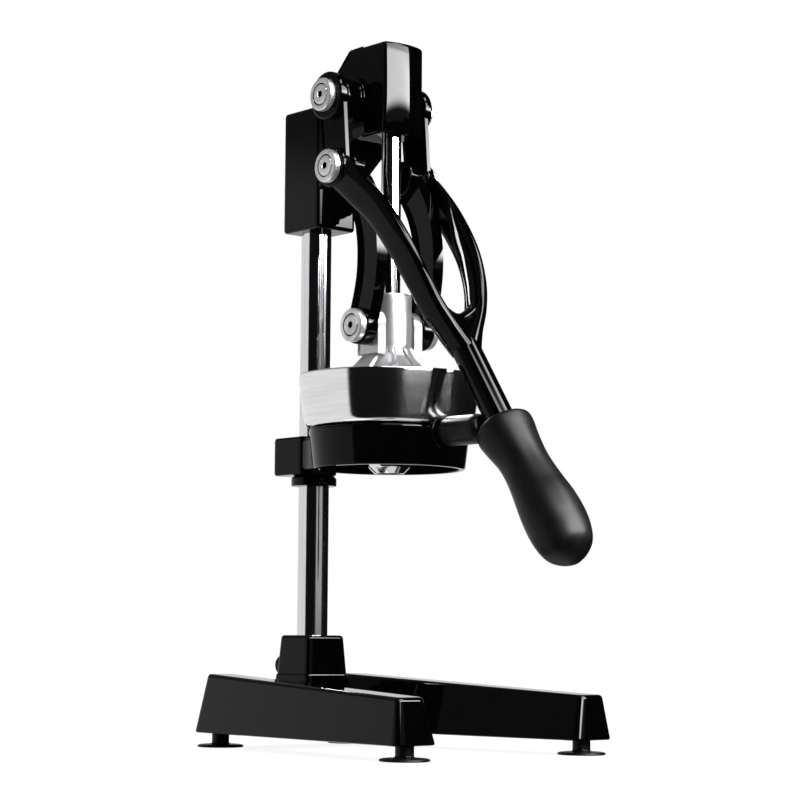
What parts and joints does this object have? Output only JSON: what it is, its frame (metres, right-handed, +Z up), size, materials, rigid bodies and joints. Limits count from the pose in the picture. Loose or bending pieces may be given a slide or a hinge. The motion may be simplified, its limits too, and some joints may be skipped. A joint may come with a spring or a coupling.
{
  "type": "lever citrus juice press",
  "caption": "Bench lever press for citrus: a forked lever and two curved links push a ribbed bell down over a reamer cone in a juice bowl held by a bracket on a column.",
  "frame": {"origin": "centre of the footprint, on the surface the rubber feet stand on", "axes": "+Z up along the column and push rod, -Y toward the grip side (front), +X to the right seen from the front's user side behind the grip"},
  "size_m": [0.1738, 0.2874, 0.4465],
  "materials": {
    "black_enamel": "gloss black enamel on cast metal",
    "chrome_plate": "polished chrome plate",
    "stainless": "spun and brushed stainless steel",
    "plain_steel": "zinc plated fasteners",
    "cast_aluminium": "cast and tumbled aluminium",
    "rubber": "matte black rubber",
    "bronze": "sintered bronze bush"
  },
  "bodies": {
    "root": {"stand_casting": "black_enamel", "foot_pad_front_left": "rubber", "foot_stud_front_left": "plain_steel", "foot_pad_front_right": "rubber", "foot_stud_front_right": "plain_steel", "foot_pad_rear_left": "rubber", "foot_stud_rear_left": "plain_steel", "foot_pad_rear_right": "rubber", "foot_stud_rear_right": "plain_steel", "column": "chrome_plate", "column_washer": "plain_steel", "column_bolt": "plain_steel", "socket_set_screw": "plain_steel", "head_casting": "black_enamel", "head_set_screw_lower": "plain_steel", "head_set_screw_upper": "plain_steel", "guide_bush_lower": "bronze", "guide_bush_upper": "bronze", "cup_bracket": "black_enamel", "bracket_set_screw": "plain_steel", "lock_collar": "black_enamel", "lock_set_screw": "plain_steel", "spout": "chrome_plate", "juice_bowl": "stainless", "strainer_plate": "stainless", "reamer_cone": "stainless", "bumper": "rubber", "bumper_stud": "plain_steel", "head_pivot_cup_left": "chrome_plate", "head_pivot_screw_left": "chrome_plate", "head_pivot_spacer_left": "plain_steel", "head_pivot_cup_right": "chrome_plate", "head_pivot_screw_right": "chrome_plate", "head_pivot_spacer_right": "plain_steel"},
    "lever": {"lever_casting": "black_enamel", "grip": "rubber", "head_pivot_bush_left": "bronze", "lever_link_bush_left": "bronze", "head_pivot_bush_right": "bronze", "lever_link_bush_right": "bronze"},
    "link_left": {"link_left": "black_enamel", "lever_link_cup_left": "chrome_plate", "lever_link_screw_left": "chrome_plate", "lever_link_spacer_left": "plain_steel", "presser_link_cup_left": "chrome_plate", "presser_link_screw_left": "chrome_plate"},
    "link_right": {"link_right": "black_enamel", "lever_link_cup_right": "chrome_plate", "lever_link_screw_right": "chrome_plate", "lever_link_spacer_right": "plain_steel", "presser_link_cup_right": "chrome_plate", "presser_link_screw_right": "chrome_plate"},
    "presser": {"presser_casting": "cast_aluminium", "push_rod": "chrome_plate", "rod_screw": "plain_steel"}
  },
  "joints": [
    {"name": "lever_pivot", "type": "hinge", "parent": "root", "child": "lever", "pos_m": [0, 0.04731, 0.4123], "axis": [-1, 0, 0], "range_deg": [0, 141]},
    {"name": "link_pivot_left", "type": "hinge", "parent": "lever", "child": "link_left", "pos_m": [0, 0.04181, 0.36542], "axis": [-1, 0, 0], "range_deg": [-152.05, 0]},
    {"name": "link_pivot_right", "type": "hinge", "parent": "lever", "child": "link_right", "pos_m": [0, 0.04181, 0.36542], "axis": [-1, 0, 0], "range_deg": [-152.05, 0]},
    {"name": "presser_slide", "type": "slide", "parent": "root", "child": "presser", "axis": [0, 0, 1], "range_m": [0, 0.086]}
  ],
  "couplings": [
    {"joint": "link_pivot_left", "follows": "lever_pivot", "ratio": -1.0783},
    {"joint": "link_pivot_right", "follows": "lever_pivot", "ratio": -1.0783},
    {"joint": "presser_slide", "follows": "lever_pivot", "m_per_rad": 0.034944}
  ]
}
